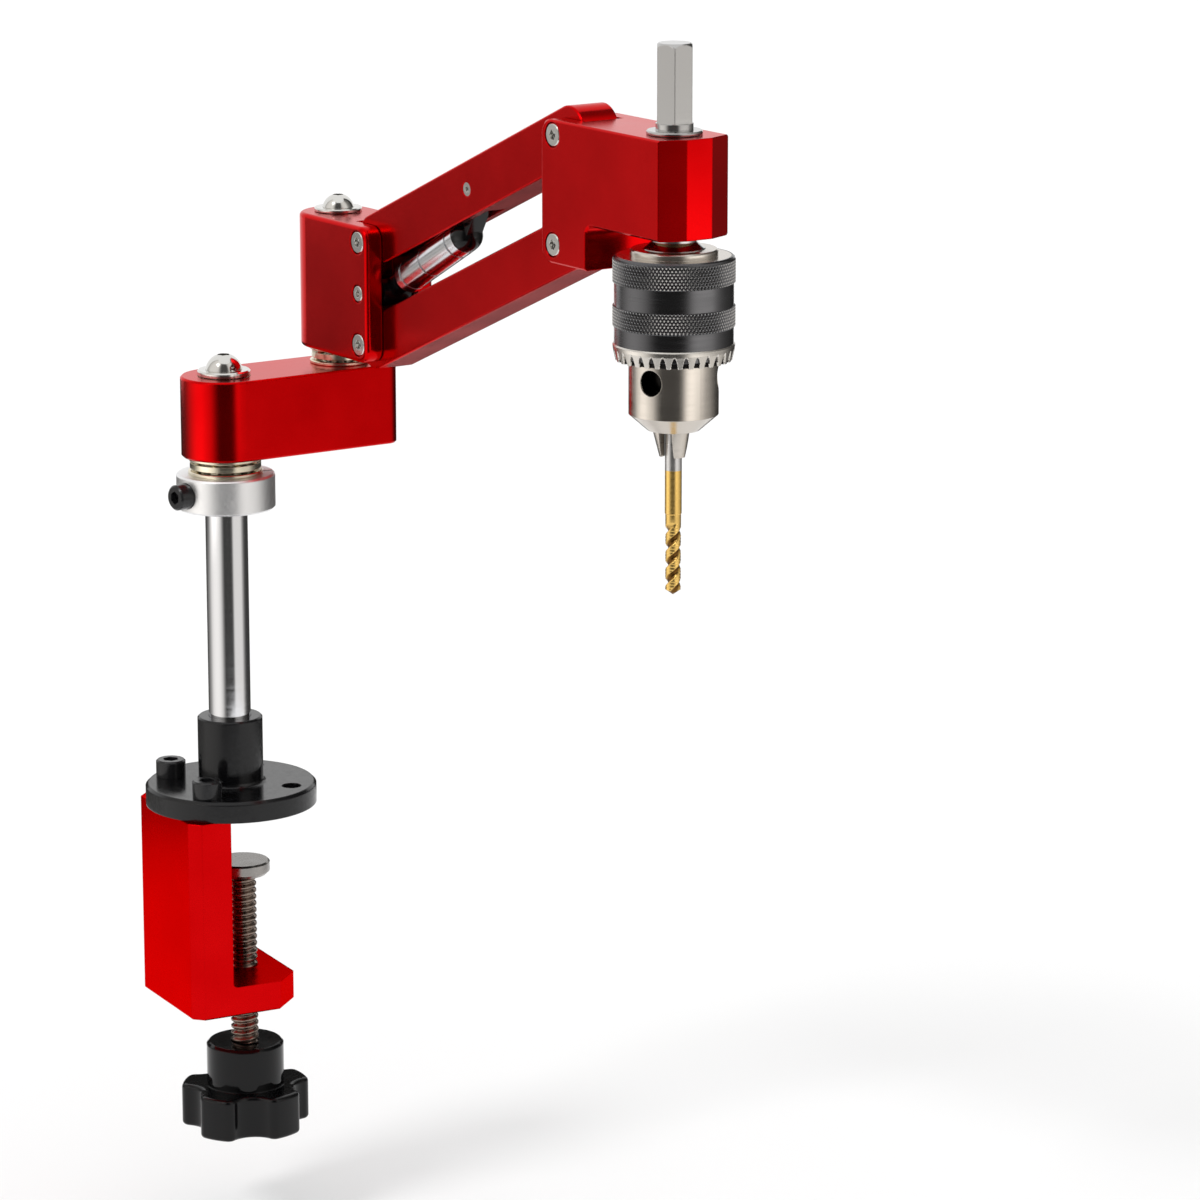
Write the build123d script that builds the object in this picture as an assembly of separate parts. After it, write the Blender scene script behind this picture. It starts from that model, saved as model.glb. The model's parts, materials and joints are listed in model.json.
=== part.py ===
from build123d import *
from math import acos, asin, atan2, cos, degrees, hypot, radians, sin, tan
import os

# An arm tapping machine that clamps to a table edge. A column carries two
# swinging arms; the outer one is a parallelogram that keeps the head level.
# Millimetres, +Z up. The origin is on the column's axis, on the flange's
# underside, which rests on the table top. +X points in over the table.

# ---- fits
slip = 0.02          # radial gap of a pressed, clamped or threaded fit
running = 0.05       # radial gap of a shaft that turns in its bore
face_gap = 0.2       # gap between flat faces that turn past each other
bevel = 0.5          # small chamfer along machined edges

# ---- table clamp
clamp_width = 40.0
clamp_back = 21.0            # column axis to the clamp's back face
clamp_wall = 12.0
clamp_opening = 49.5
jaw_thickness = 8.5
jaw_reach = 13.0             # column axis to the jaw's tip
jaw_corner = 7.3
back_corner = 3.0
throat_fillet = 1.5
screw_offset = 3.0           # column axis to the clamp screw's axis
screw_radius = 4.0
screw_tip_radius = 3.0
pad_radius = 8.0
pad_height = 4.0
pad_floor = 1.4
table_thickness = 18.0       # what the clamp holds at rest
knob_drop = 14.5             # jaw's underside to the top of the knob's hub
hub_radius = 11.2
hub_height = 13.0
lobe_radius = 18.6
lobe_height = 12.5
lobe_count = 5
valley_radius = 6.6
valley_centre = 20.8
lobe_round = 2.6
knob_edge = 1.2

# ---- flange, column and collar
flange_radius = 24.5
flange_height = 6.0
boss_radius = 9.3
boss_height = 19.5
hole_circle = 18.5
flange_hole_radius = 2.75
cap_radius = 4.25            # socket cap screws of the flange
cap_height = 5.0
cap_shank_radius = 2.5
cap_shank_length = 14.0
socket_radius = 2.3
socket_depth = 2.6
bolt_head = 3.0              # height of the column bolt's countersunk head
column_radius = 6.0
column_height = 124.7         # table top to the column's top
collar_radius = 14.0
collar_height = 10.0
collar_slit = 1.6
collar_screw_angle = -167.0
collar_screw_radius = 2.0
collar_cap_radius = 3.6
collar_cap_height = 4.6
collar_flat = 0.6            # depth of the screw head's seat in the collar

# ---- thrust bearings
race_height = 1.0
bearing_height = 5.0
ball_radius = 1.4
ball_count = 8
shoulder_bearing_radius = 10.6
elbow_bearing_radius = 8.6
cage_height = 1.6

# ---- lower arm
lower_arm_yaw = 5.5
lower_arm_length = 38.0
lower_arm_height = 23.0
lower_arm_radius = 12.4
lower_arm_overhang = 12.6
lower_arm_corner = 3.5
bush_wall = 1.5
end_screw_radius = 3.0
end_dome_radius = 5.25
end_dome_height = 4.5
end_washer_radius = 7.5
end_washer_height = 1.5
end_screw_depth = 12.0

# ---- pivot block at the elbow
upper_arm_yaw = -83.5
shaft_radius = 4.0
shaft_flange_radius = 6.6
shaft_flange_height = 2.6
shaft_inset = 0.3            # arm's underside to the shaft's foot
elbow_screw_radius = 2.5
elbow_dome_radius = 4.5
elbow_dome_height = 3.7
elbow_washer_radius = 6.8
elbow_washer_height = 1.0
elbow_screw_depth = 9.0
block_width = 22.0
pin_reach = 27.5             # elbow axis to the links' rear pins
pin_spacing = 29.0           # upper to lower pin
pin_inset = 4.5              # block's top to the upper pin
pin_rise = 5.0               # block's underside to the lower pin
ear_length = 5.0             # pin to the fork's front face
ear_corner = 4.2
ear_round = 1.2

# ---- parallel links and their pins
link_length = 106.0
link_rise = 23.0             # degrees above level at rest
link_height = 14.6
link_width = 11.5
fork_gap = 0.3               # link to cheek, each side
fork_back = 0.9              # link's round end to the fork's floor
pin_radius = 2.5
pin_head_radius = 3.1
pin_head_height = 1.8
pin_recess_gap = 0.3         # ring of air round a sunk pin head
pin_socket_radius = 1.45
pin_socket_depth = 1.1

# ---- gas strut
strut_pin_radius = 2.0
strut_pin_head_radius = 2.3
strut_hook = 52.5            # rear pin to the strut's pin, along the upper link
strut_hook_radius = 1.5
strut_hook_head = 1.9
strut_hook_seat = 1.0        # depth of the screw head's recess in the link
strut_offset = 8.6           # strut's axis to its upper pin
strut_radius = 4.6
strut_bore = 3.8
strut_start = 10.6           # lower pin to the cylinder's mouth at rest
strut_length = 32.8
strut_groove_depth = 0.45
strut_groove_width = 0.8
strut_tail = 1.2             # straight part of the black upper end
cap_flat = 1.0               # radius of the flat at the cap's end
lug_radius = 2.8             # round end of the lug that meets the upper pin
lug_width = 5.0
rod_radius = 1.7
rod_length = 33.0
eye_radius = 4.2
eye_width = 9.0
eye_neck_radius = 2.9
eye_neck_end = 7.4
pocket_clear = 0.6
pocket_side = 0.15
pocket_roof = 3.2
pocket_shallow = 3.2

# ---- head
head_width = 22.0
head_height = 26.0
head_pin_inset = 4.0         # head's top to its upper pin
head_rear = 5.2              # pins to the head's rear face
head_round = 4.0
head_ear = 15.5              # pins to the front of the lower ear
head_ear_drop = 4.9          # lower pin to the ear's underside
head_ear_fillet = 2.5
spindle_reach = 39.8         # pins to the spindle's axis
nose_reach = 11.2            # spindle's axis to the nose
nose_length = 3.0
nose_flat = 7.8

# ---- spindle
spindle_radius = 5.0
hex_flat = 9.0
hex_turn = 25.5              # one corner of the hexagon, from the arm's direction
hex_length = 20.5
hex_point = 1.0
spindle_collar_radius = 4.9
spindle_collar_height = 1.8
ring_radius = 7.3
ring_height = 0.9
bush_length = 8.0
neck_radius = 8.2
neck_top_radius = 5.8
neck_height = 3.3
neck_flare = 1.9
arbor_radius = 4.5
arbor_length = 15.0

# ---- drill chuck
sleeve_radius = 15.9
sleeve_wall = 1.0
sleeve_rim = 0.8
knurl_upper = 6.2
band_upper = 5.9
knurl_lower = 5.6
band_lower = 4.3
gear_height = 4.5
band_depth = 0.4
gear_teeth = 32
gear_rim = 1.3               # plain ring above the teeth
gear_taper = 0.8
tooth_depth = 1.1
tooth_gap = 1.5
sleeve_lip = 1.2
chuck_step_radius = 11.4
chuck_step_height = 1.7
body_radius = 11.7
body_length = 14.2           # sleeve's lower edge to the start of the cone
cone_length = 4.2
cone_radius = 6.9
key_hole_radius = 3.1
key_hole_depth = 4.5
key_flare = 0.35             # bevel round the key holes
key_hole_drop = 4.6
key_hole_angle = -66.5
chuck_bore = 5.2
bit_radius = 2.2
jaw_tilt = 14.5
jaw_radius = 3.0
jaw_outer = 5.5              # jaws' outer reach where they leave the cone
jaw_stick_out = 7.1
jaw_rise = 23.4              # cone's end to the jaws' upper ends
jaw_grip_gap = 0.03
nut_height = 3.6
nut_clear = 0.3

# ---- tap bit
bit_shank = 10.3             # jaws' tips to the coated part's step
bit_step = 5.6
bit_neck_radius = 2.05
bit_neck = 3.0
bit_flutes = 18.0
bit_point = 1.6
bit_twist = 300.0
bit_inside = 20.0            # shank held inside the chuck

# ---- heights that follow
boss_top = flange_height + boss_height
column_top = column_height
arm_top = column_top - face_gap
arm_bottom = arm_top - lower_arm_height
collar_top = arm_bottom - bearing_height
collar_bottom = collar_top - collar_height
block_bottom = arm_top + bearing_height
block_height = pin_rise + pin_spacing + pin_inset
block_top = block_bottom + block_height
shaft_top = block_top + face_gap
upper_pin_z = block_top - pin_inset
lower_pin_z = upper_pin_z - pin_spacing
middle_pin_z = (upper_pin_z + lower_pin_z) / 2
link_run = link_length * cos(radians(link_rise))
link_climb = link_length * sin(radians(link_rise))
head_x = pin_reach + link_run
head_pin_z = upper_pin_z + link_climb
head_top = head_pin_z + head_pin_inset
head_bottom = head_top - head_height
spindle_x = head_x + spindle_reach
chuck_top = head_bottom - face_gap - neck_height
sleeve_top = chuck_top - chuck_step_height
knurl_top_z = sleeve_top - sleeve_rim
band_top_z = knurl_top_z - knurl_upper
knurl_low_z = band_top_z - band_upper
band_low_z = knurl_low_z - knurl_lower
gear_top_z = band_low_z - band_lower
sleeve_bottom = gear_top_z - gear_height
cone_top = sleeve_bottom - body_length
cone_bottom = cone_top - cone_length
jaw_tip_z = cone_bottom - jaw_stick_out
jaw_top_z = cone_bottom + jaw_rise
nut_top = jaw_top_z
nut_bottom = nut_top - nut_height
shell_radius = sleeve_radius - sleeve_wall
slot_width = link_width + 2 * fork_gap
slot_floor = link_height / 2 + fork_back
pad_top = -table_thickness
hub_top = -clamp_opening - jaw_thickness - knob_drop
knob_bottom = hub_top - hub_height - lobe_height

elbow = Rot(0, 0, lower_arm_yaw) * Pos(lower_arm_length, 0, 0)
lower_frame = Location((0, 0, 0), (0, 0, lower_arm_yaw))
elbow_point = elbow.position
upper_frame = Location((elbow_point.X, elbow_point.Y, 0), (0, 0, upper_arm_yaw))
spindle_frame = upper_frame * Location((spindle_x, 0, 0))

# the strut's axis runs through the middle pin and passes below its upper pin, the hook
hook_x = strut_hook * cos(radians(link_rise))
hook_z = upper_pin_z - middle_pin_z + strut_hook * sin(radians(link_rise))
hook_distance = hypot(hook_x, hook_z)
strut_tilt = degrees(atan2(hook_z, hook_x) - asin(strut_offset / hook_distance))
hook_along = (hook_distance ** 2 - strut_offset ** 2) ** 0.5
strut_frame = upper_frame * Pos(pin_reach, 0, middle_pin_z) * Rot(0, -strut_tilt, 0)
along_strut = strut_frame * Rot(0, 90, 0)
strut_end = strut_start + strut_length
strut_root = strut_end + strut_tail


# ---- shared shapes
def rod(radius, bottom, top):
    return Pos(0, 0, bottom) * extrude(Circle(radius), top - bottom)


def ring(outer, inner, bottom, top):
    return rod(outer, bottom, top) - rod(inner, bottom - 1, top + 1)


def across(shape, x, z):
    """Turn a solid made along Z so that it lies along Y at a point of the arm."""
    return Pos(x, 0, z) * Rot(90, 0, 0) * shape


def hex_socket(radius, top, depth):
    return Pos(0, 0, top - depth) * extrude(RegularPolygon(radius, 6), depth + 1)


def edges_at(part, z):
    return part.edges().filter_by(lambda edge: edge.bounding_box().size.Z < 1e-4
                                  and abs(edge.center().Z - z) < 1e-4)


def outer_edges_at(part, z):
    rims = part.faces().filter_by(lambda face: abs(face.center().Z - z) < 1e-4
                                  and face.bounding_box().size.Z < 1e-4)
    return rims.sort_by(SortBy.AREA)[-1].outer_wire().edges()


def dome_screw(head_radius, head_height, shank_radius, seat, shank_length):
    """A round-headed socket screw that sits on a washer at the height seat."""
    crown = (head_radius ** 2 + head_height ** 2) / (2 * head_height)
    ball = Pos(0, 0, seat + head_height - crown) * Sphere(crown)
    head = ball & rod(head_radius, seat, seat + head_height + 1)
    socket = hex_socket(head_radius * 0.36, seat + head_height, head_height * 0.5)
    return head + rod(shank_radius, seat - shank_length, seat + 0.5) - socket


def cap_screw(head_radius, head_height, shank_radius, seat, shank_length, socket):
    head = rod(head_radius, seat, seat + head_height)
    head = chamfer(edges_at(head, seat + head_height), 0.5)
    head = head + rod(shank_radius, seat - shank_length, seat)
    return head - hex_socket(socket, seat + head_height, head_height * 0.55)


# ---- table clamp
def clamp_frame():
    profile = Polyline((-clamp_back, 0), (clamp_wall - clamp_back, 0),
                       (clamp_wall - clamp_back, -clamp_opening),
                       (jaw_reach, -clamp_opening),
                       (jaw_reach, -clamp_opening - jaw_thickness),
                       (-clamp_back, -clamp_opening - jaw_thickness), close=True)
    body = extrude(Plane.XZ * make_face(profile), clamp_width / 2, both=True)
    upright = body.edges().filter_by(Axis.Z)
    body = chamfer(upright.group_by(Axis.X)[-1], jaw_corner)
    upright = body.edges().filter_by(Axis.Z)
    body = chamfer(upright.group_by(Axis.X)[0], back_corner)
    throat = body.edges().filter_by(Axis.Y).filter_by(
        lambda edge: abs(edge.center().X - clamp_wall + clamp_back) < 0.01
        and abs(edge.center().Z + clamp_opening) < 0.01)
    body = fillet(throat, throat_fillet)
    body = chamfer(outer_edges_at(body, -clamp_opening - jaw_thickness), bevel)
    body -= Pos(screw_offset, 0, 0) * rod(screw_radius + running,
                                          -clamp_opening - jaw_thickness - 1, -clamp_opening + 1)
    for side in (1, -1):
        corner = Rot(0, 0, 180 - side * 45) * Pos(hole_circle, 0, 0)
        body -= corner * rod(cap_shank_radius + slip, -cap_shank_length + flange_height - 1, 1)
    return body


def flange_base():
    body = rod(flange_radius, 0, flange_height) + rod(boss_radius, flange_height, boss_top)
    body = chamfer(edges_at(body, flange_height).sort_by(SortBy.LENGTH)[-1], bevel + 0.3)
    body = chamfer(edges_at(body, boss_top), bevel)
    body = fillet(edges_at(body, flange_height).sort_by(SortBy.LENGTH)[0], 1.2)
    body -= rod(column_radius + slip, flange_height, boss_top + 1)
    body -= rod(end_screw_radius + slip, -1, flange_height + 1)
    body -= countersink(slip)
    for quarter in range(4):
        corner = Rot(0, 0, 45 + 90 * quarter) * Pos(hole_circle, 0, 0)
        body -= corner * rod(flange_hole_radius, -1, flange_height + 1)
    return body


def countersink(gap):
    """The cone of the bolt that holds the column, opening downward."""
    return Pos(0, 0, bolt_head / 2) * Cone(end_screw_radius * 2 + gap, end_screw_radius + gap, bolt_head)


def column_bolt():
    body = countersink(0) + rod(end_screw_radius, bolt_head, flange_height + end_screw_depth)
    return body - Pos(0, 0, -1) * extrude(RegularPolygon(socket_radius, 6), 1 + socket_depth)


def flange_screws():
    heads = []
    for side in (1, -1):
        corner = Rot(0, 0, 180 - side * 45) * Pos(hole_circle, 0, 0)
        heads.append(corner * cap_screw(cap_radius, cap_height, cap_shank_radius,
                                        flange_height, cap_shank_length, socket_radius))
    return heads


def clamp_pad():
    body = rod(pad_radius, pad_top - pad_height, pad_top)
    body = chamfer(edges_at(body, pad_top - pad_height), 1.0)
    body = chamfer(edges_at(body, pad_top), bevel)
    body -= rod(screw_tip_radius + running, pad_top - pad_height - 1, pad_top - pad_floor)
    return Pos(screw_offset, 0, 0) * body


def clamp_screw():
    tip_top = pad_top - pad_floor - face_gap
    shoulder = pad_top - pad_height - face_gap
    body = rod(screw_tip_radius, shoulder, tip_top)
    body += chamfer(edges_at(rod(screw_radius, hub_top - hub_height, shoulder), shoulder), bevel)
    return Pos(screw_offset, 0, 0) * body


def clamp_knob():
    star = Circle(lobe_radius)
    for lobe in range(lobe_count):
        turn = 360 / lobe_count * (lobe + 0.5)
        star -= Rot(0, 0, turn) * Pos(valley_centre, 0) * Circle(valley_radius)
    disc = Pos(0, 0, knob_bottom) * extrude(star, lobe_height)
    disc = fillet(disc.edges().filter_by(Axis.Z), lobe_round)
    disc = fillet(disc.edges().filter_by(lambda edge: edge.bounding_box().size.Z < 1e-4), knob_edge)
    hub = rod(hub_radius, hub_top - hub_height, hub_top)
    hub = chamfer(edges_at(hub, hub_top), 0.8)
    body = disc + hub
    body -= rod(screw_radius + slip, hub_top - hub_height, hub_top + 1)
    return Pos(screw_offset, 0, 0) * body


# ---- column
def column():
    body = rod(column_radius, flange_height, column_top)
    body = chamfer(edges_at(body, column_top), bevel)
    body -= rod(end_screw_radius + slip, flange_height - 1, flange_height + end_screw_depth + 2)
    return body - rod(end_screw_radius + slip, column_top - end_screw_depth - 2, column_top + 1)


def collar_screw_place():
    return Rot(0, 0, collar_screw_angle) * Pos(0, 0, collar_bottom + collar_height / 2) * Rot(0, 90, 0)


def shaft_collar():
    body = rod(collar_radius, collar_bottom, collar_top)
    body = chamfer(edges_at(body, collar_bottom) + edges_at(body, collar_top), bevel)
    body -= rod(column_radius + slip, collar_bottom - 1, collar_top + 1)
    body -= Rot(0, 0, collar_screw_angle + 150) * Pos(
        collar_radius / 2 + column_radius / 2, 0, collar_bottom + collar_height / 2) * Box(
        collar_radius, collar_slit, collar_height + 1)
    body -= collar_screw_place() * rod(collar_screw_radius + slip, 0, collar_radius + 1)
    return body - collar_screw_place() * rod(collar_cap_radius + 0.1, collar_radius - collar_flat,
                                               collar_radius + 1)


def collar_screw():
    seat = collar_radius - collar_flat
    return collar_screw_place() * cap_screw(collar_cap_radius, collar_cap_height, collar_screw_radius,
                                            seat, seat - column_radius - 0.1, collar_cap_radius * 0.55)


def thrust_race(outer, inner, bottom):
    race = ring(outer, inner, bottom, bottom + race_height)
    return chamfer(race.edges().sort_by(SortBy.LENGTH)[-2:], 0.2)


def ball_cage(outer, inner, bottom):
    """A flat cage with its balls, between two races of one bearing."""
    middle = bottom + bearing_height / 2
    pitch = (outer + inner) / 2
    cage = ring(outer - 0.5, inner + 0.5, middle - cage_height / 2, middle + cage_height / 2)
    balls = []
    for index in range(ball_count):
        spot = Rot(0, 0, 360 / ball_count * index) * Pos(pitch, 0, middle)
        cage -= spot * Cylinder(ball_radius + 0.1, cage_height + 1)
        balls.append(spot * Sphere(ball_radius))
    return [cage] + balls


# ---- lower arm
def lower_arm():
    far_end = lower_arm_length + lower_arm_overhang
    plan = Pos(far_end / 2, 0) * Rectangle(far_end, 2 * lower_arm_radius) + Circle(lower_arm_radius)
    body = Pos(0, 0, arm_bottom) * extrude(plan, lower_arm_height)
    corners = body.edges().filter_by(Axis.Z).group_by(Axis.X)[-1]
    body = fillet(corners, lower_arm_corner)
    body = chamfer(outer_edges_at(body, arm_top), bevel)
    body = chamfer(outer_edges_at(body, arm_bottom), bevel)
    body -= rod(column_radius + bush_wall + slip, arm_bottom - 1, arm_top + 1)
    body -= Pos(lower_arm_length, 0, 0) * rod(shaft_radius + slip, arm_bottom - 1, arm_top + 1)
    pocket = rod(shaft_flange_radius + slip, arm_bottom - 1, arm_bottom + shaft_inset + shaft_flange_height)
    return lower_frame * (body - Pos(lower_arm_length, 0, 0) * pocket)


def lower_arm_bush():
    return ring(column_radius + bush_wall, column_radius + running, arm_bottom, arm_top)


def end_washer():
    body = ring(end_washer_radius, end_screw_radius + slip, column_top, column_top + end_washer_height)
    return chamfer(outer_edges_at(body, column_top + end_washer_height), 0.4)


def end_screw():
    return dome_screw(end_dome_radius, end_dome_height, end_screw_radius,
                      column_top + end_washer_height, end_screw_depth + end_washer_height)


def pivot_shaft():
    foot = arm_bottom + shaft_inset
    body = rod(shaft_radius, foot, shaft_top)
    body += rod(shaft_flange_radius, foot, foot + shaft_flange_height)
    body -= rod(elbow_screw_radius + slip, shaft_top - elbow_screw_depth - 2, shaft_top + 1)
    return elbow * body


def elbow_washer():
    top = shaft_top + elbow_washer_height
    body = ring(elbow_washer_radius, elbow_screw_radius + slip, shaft_top, top)
    return elbow * chamfer(outer_edges_at(body, top), 0.3)


def elbow_screw():
    return elbow * dome_screw(elbow_dome_radius, elbow_dome_height, elbow_screw_radius,
                              shaft_top + elbow_washer_height,
                              elbow_screw_depth + elbow_washer_height)


# ---- pivot block and head share a fork with cheeks and pins
def fork_pin_holes(z, x, radius, head_radius):
    hole = across(rod(radius + slip, -block_width, block_width), x, z)
    recess = rod(head_radius + pin_recess_gap, block_width / 2 - pin_head_height, block_width)
    return hole + across(recess, x, z)


def fork_pin(x, z, radius, head_radius, socket):
    half = block_width / 2
    body = rod(radius, -half + 0.3, half - pin_head_height)
    body += rod(head_radius, half - pin_head_height, half - 0.1)
    body = chamfer(edges_at(body, half - 0.1), 0.25)
    return upper_frame * across(body - hex_socket(socket, half - 0.1, pin_socket_depth), x, z)


def pivot_block():
    front = pin_reach + ear_length
    plan = Pos(front / 2, 0) * Rectangle(front, block_width) + Circle(block_width / 2)
    body = Pos(0, 0, block_bottom) * extrude(plan, block_height)
    tips = body.edges().filter_by(Axis.Y).group_by(Axis.X)[-1]
    body = fillet(tips, ear_corner)
    cheeks = body.edges().filter_by(lambda edge: edge.center().X > pin_reach - 2
                                    and abs(abs(edge.center().Y) - block_width / 2) < 0.01)
    body = fillet(cheeks, ear_round)
    gap = front - pin_reach + slot_floor + 1
    body -= Pos(front + 1 - gap / 2, 0, (block_bottom + block_top) / 2) * Box(
        gap, slot_width, block_height + 2)
    body -= rod(shaft_radius + bush_wall + slip, block_bottom - 1, block_top + 1)
    for z in (upper_pin_z, lower_pin_z):
        body -= fork_pin_holes(z, pin_reach, pin_radius, pin_head_radius)
    body -= fork_pin_holes(middle_pin_z, pin_reach, strut_pin_radius, strut_pin_head_radius)
    return upper_frame * body


def elbow_bush():
    return elbow * ring(shaft_radius + bush_wall, shaft_radius + running, block_bottom, block_top)


# ---- links
def link_blank():
    """One link along X, its rear pin at the origin."""
    outline = Pos(link_length / 2, 0) * SlotCenterToCenter(link_length, link_height)
    body = extrude(Plane.XZ * outline, link_width / 2, both=True)
    body = chamfer(body.edges().filter_by(lambda edge: edge.bounding_box().size.Y < 1e-4), 0.35)
    for x in (0, link_length):
        body -= across(rod(pin_radius + running, -link_width, link_width), x, 0)
    return body


def link_place(pin_z):
    return upper_frame * Pos(pin_reach, 0, pin_z) * Rot(0, -link_rise, 0)


def strut_pocket():
    """The hollow under the upper link: wide over the strut's body, narrow and deep at its lug."""
    root = strut_hook - (hook_along - strut_root)
    wide_end = root + strut_radius + pocket_clear
    wide = 2 * (strut_radius + pocket_side)
    body = Pos((wide_end - link_height) / 2, 0, (pocket_shallow - link_height) / 2 - 1) * Box(
        wide_end + link_height, wide, pocket_shallow + 2)
    front = strut_hook + lug_radius + pocket_clear
    deep = link_height - pocket_roof
    body += Pos((front + root) / 2, 0, (deep - link_height) / 2) * Box(
        front - root, lug_width + 2 * fork_gap, deep)
    return body


def upper_link():
    body = link_blank() - strut_pocket()
    body -= across(rod(strut_hook_radius + slip, -link_width, link_width), strut_hook, 0)
    recess = rod(strut_hook_head + slip, link_width / 2 - strut_hook_seat, link_width)
    return link_place(upper_pin_z) * (body - across(recess, strut_hook, 0))


def lower_link():
    return link_place(lower_pin_z) * link_blank()


def strut_hook_screw():
    half = link_width / 2
    body = rod(strut_hook_radius, -half + 0.2, half - strut_hook_seat)
    body += rod(strut_hook_head, half - strut_hook_seat, half - 0.1)
    body -= hex_socket(0.9, half - 0.1, 0.7)
    return link_place(upper_pin_z) * across(body, strut_hook, 0)


# ---- gas strut


def strut_cylinder():
    body = rod(strut_radius, strut_start, strut_end)
    body = chamfer(edges_at(body, strut_start), 0.6)
    for place in (strut_start + 3.0, strut_start + strut_length * 0.42, strut_end - 4.0):
        body -= ring(strut_radius + 1, strut_radius - strut_groove_depth,
                     place, place + strut_groove_width)
    return along_strut * (body - rod(strut_bore, strut_start - 1, strut_end - 3))


def strut_upper_end():
    """A black cap with a round end, and a lug that rises from it to the upper pin."""
    cap = strut_radius - 0.1
    arc = CenterArc((0, strut_root), cap, 0, degrees(acos(cap_flat / cap)))
    tip = arc @ 1
    side = Polyline(tip, (0, tip.Y), (0, strut_end), (cap, strut_end), (cap, strut_root))
    body = along_strut * revolve(Plane.XZ * make_face([side, arc]), Axis.Z)
    reach = hypot(hook_along - strut_root, strut_offset)
    lean = degrees(atan2(strut_offset, hook_along - strut_root))
    outline = Pos(reach / 2, 0) * SlotCenterToCenter(reach, 2 * lug_radius)
    lug = extrude(Plane.XZ * outline, lug_width / 2, both=True)
    lug -= across(rod(strut_hook_radius + running, -lug_width, lug_width), reach, 0)
    lug = strut_frame * Pos(strut_root, 0, 0) * Rot(0, -lean, 0) * lug
    return body + (lug - along_strut * rod(strut_radius, strut_start, strut_end))


def strut_rod():
    return along_strut * rod(rod_radius, eye_radius - 0.5, rod_length)


def strut_lower_end():
    eye = across(rod(eye_radius, -eye_width / 2, eye_width / 2), 0, 0)
    eye += Rot(0, 90, 0) * rod(eye_neck_radius, 1, eye_neck_end)
    eye -= across(rod(strut_pin_radius + running, -eye_width, eye_width), 0, 0)
    eye = strut_frame * eye
    return eye - along_strut * rod(rod_radius + slip, eye_radius - 0.5, strut_start)


# ---- head
def head_profile():
    """The head seen from the side, with x from its pins and z from its upper pin."""
    rear = -head_rear
    front = spindle_reach + nose_reach
    top = head_pin_inset
    floor = head_pin_inset - head_height
    ear = -pin_spacing - head_ear_drop
    outline = Polyline((rear, top), (front, top), (front, floor), (head_ear, floor),
                       (head_ear, ear), (rear, ear), close=True)
    face = make_face(outline)
    rear_corners = face.vertices().group_by(Axis.X)[0]
    face = fillet(rear_corners, head_round)
    inner = face.vertices().sort_by_distance((head_ear, floor, 0))[0]
    return fillet(inner, head_ear_fillet)


def head_block():
    front = spindle_reach + nose_reach
    half = head_width / 2
    low = -pin_spacing - head_ear_drop - 1
    high = head_pin_inset + 1
    body = extrude(Plane.XZ * head_profile(), half, both=True)
    nose = Polyline((-head_rear - 1, -half), (front - nose_length, -half), (front, -nose_flat / 2),
                    (front, nose_flat / 2), (front - nose_length, half), (-head_rear - 1, half),
                    close=True)
    body &= Pos(0, 0, low) * extrude(make_face(nose), high - low)
    sides = body.faces().filter_by(Axis.Y).sort_by(Axis.Y)
    rims = sides[0].outer_wire().edges() + sides[-1].outer_wire().edges()
    rims = rims.filter_by(lambda edge: edge.center().X < front - nose_length - 0.01)
    body = chamfer(rims, bevel)
    gap = slot_floor + head_rear + 1
    body -= Pos(slot_floor - gap / 2, 0, (low + high) / 2) * Box(gap, slot_width, high - low)
    for z in (0, -pin_spacing):
        body -= fork_pin_holes(z, 0, pin_radius, pin_head_radius)
    place = Pos(spindle_reach, 0, 0)
    body -= place * rod(spindle_radius + bush_wall + slip, low, high)
    return upper_frame * Pos(head_x, 0, head_pin_z) * body


def spindle_bushes():
    pair = []
    for bottom in (head_bottom, head_top - bush_length):
        pair.append(spindle_frame * ring(spindle_radius + bush_wall, spindle_radius + running,
                                         bottom, bottom + bush_length))
    return pair


# ---- spindle
def spindle():
    ring_bottom = head_top + face_gap
    collar_bottom_z = ring_bottom + ring_height
    hex_bottom = collar_bottom_z + spindle_collar_height
    hex_top = hex_bottom + hex_length
    corner = hex_flat / 2 / cos(radians(30))
    body = rod(spindle_radius, head_bottom - face_gap, ring_bottom)
    body += rod(spindle_collar_radius, collar_bottom_z - 0.1, hex_bottom)
    outline = RegularPolygon(corner, 6, rotation=hex_turn)
    shank = Pos(0, 0, hex_bottom) * extrude(outline, hex_length)
    shank &= Pos(0, 0, (hex_bottom + hex_top) / 2) * chamfer(
        Cylinder(corner, hex_length).edges().group_by(Axis.Z)[-1], hex_point)
    body += shank
    body += Pos(0, 0, chuck_top + neck_flare / 2) * Cone(neck_radius, neck_top_radius, neck_flare)
    body += rod(neck_top_radius, chuck_top + neck_flare, head_bottom - face_gap)
    body += rod(arbor_radius, chuck_top - arbor_length, chuck_top)
    return spindle_frame * (body + rod(spindle_radius, ring_bottom - 0.1, collar_bottom_z))


def spindle_ring():
    bottom = head_top + face_gap
    body = ring(ring_radius, spindle_radius + slip, bottom, bottom + ring_height)
    return spindle_frame * chamfer(outer_edges_at(body, bottom + ring_height), 0.3)


# ---- drill chuck
def jaw_axis_radius(z):
    slope = tan(radians(jaw_tilt))
    return jaw_outer - jaw_radius / cos(radians(jaw_tilt)) + (z - cone_bottom) * slope


def jaw_path(radius, bottom, top):
    """A rod along one jaw's sloping axis, between two heights."""
    length = (top - bottom) / cos(radians(jaw_tilt))
    return Pos(jaw_axis_radius(bottom), 0, bottom) * Rot(0, jaw_tilt, 0) * rod(radius, 0, length)


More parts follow.
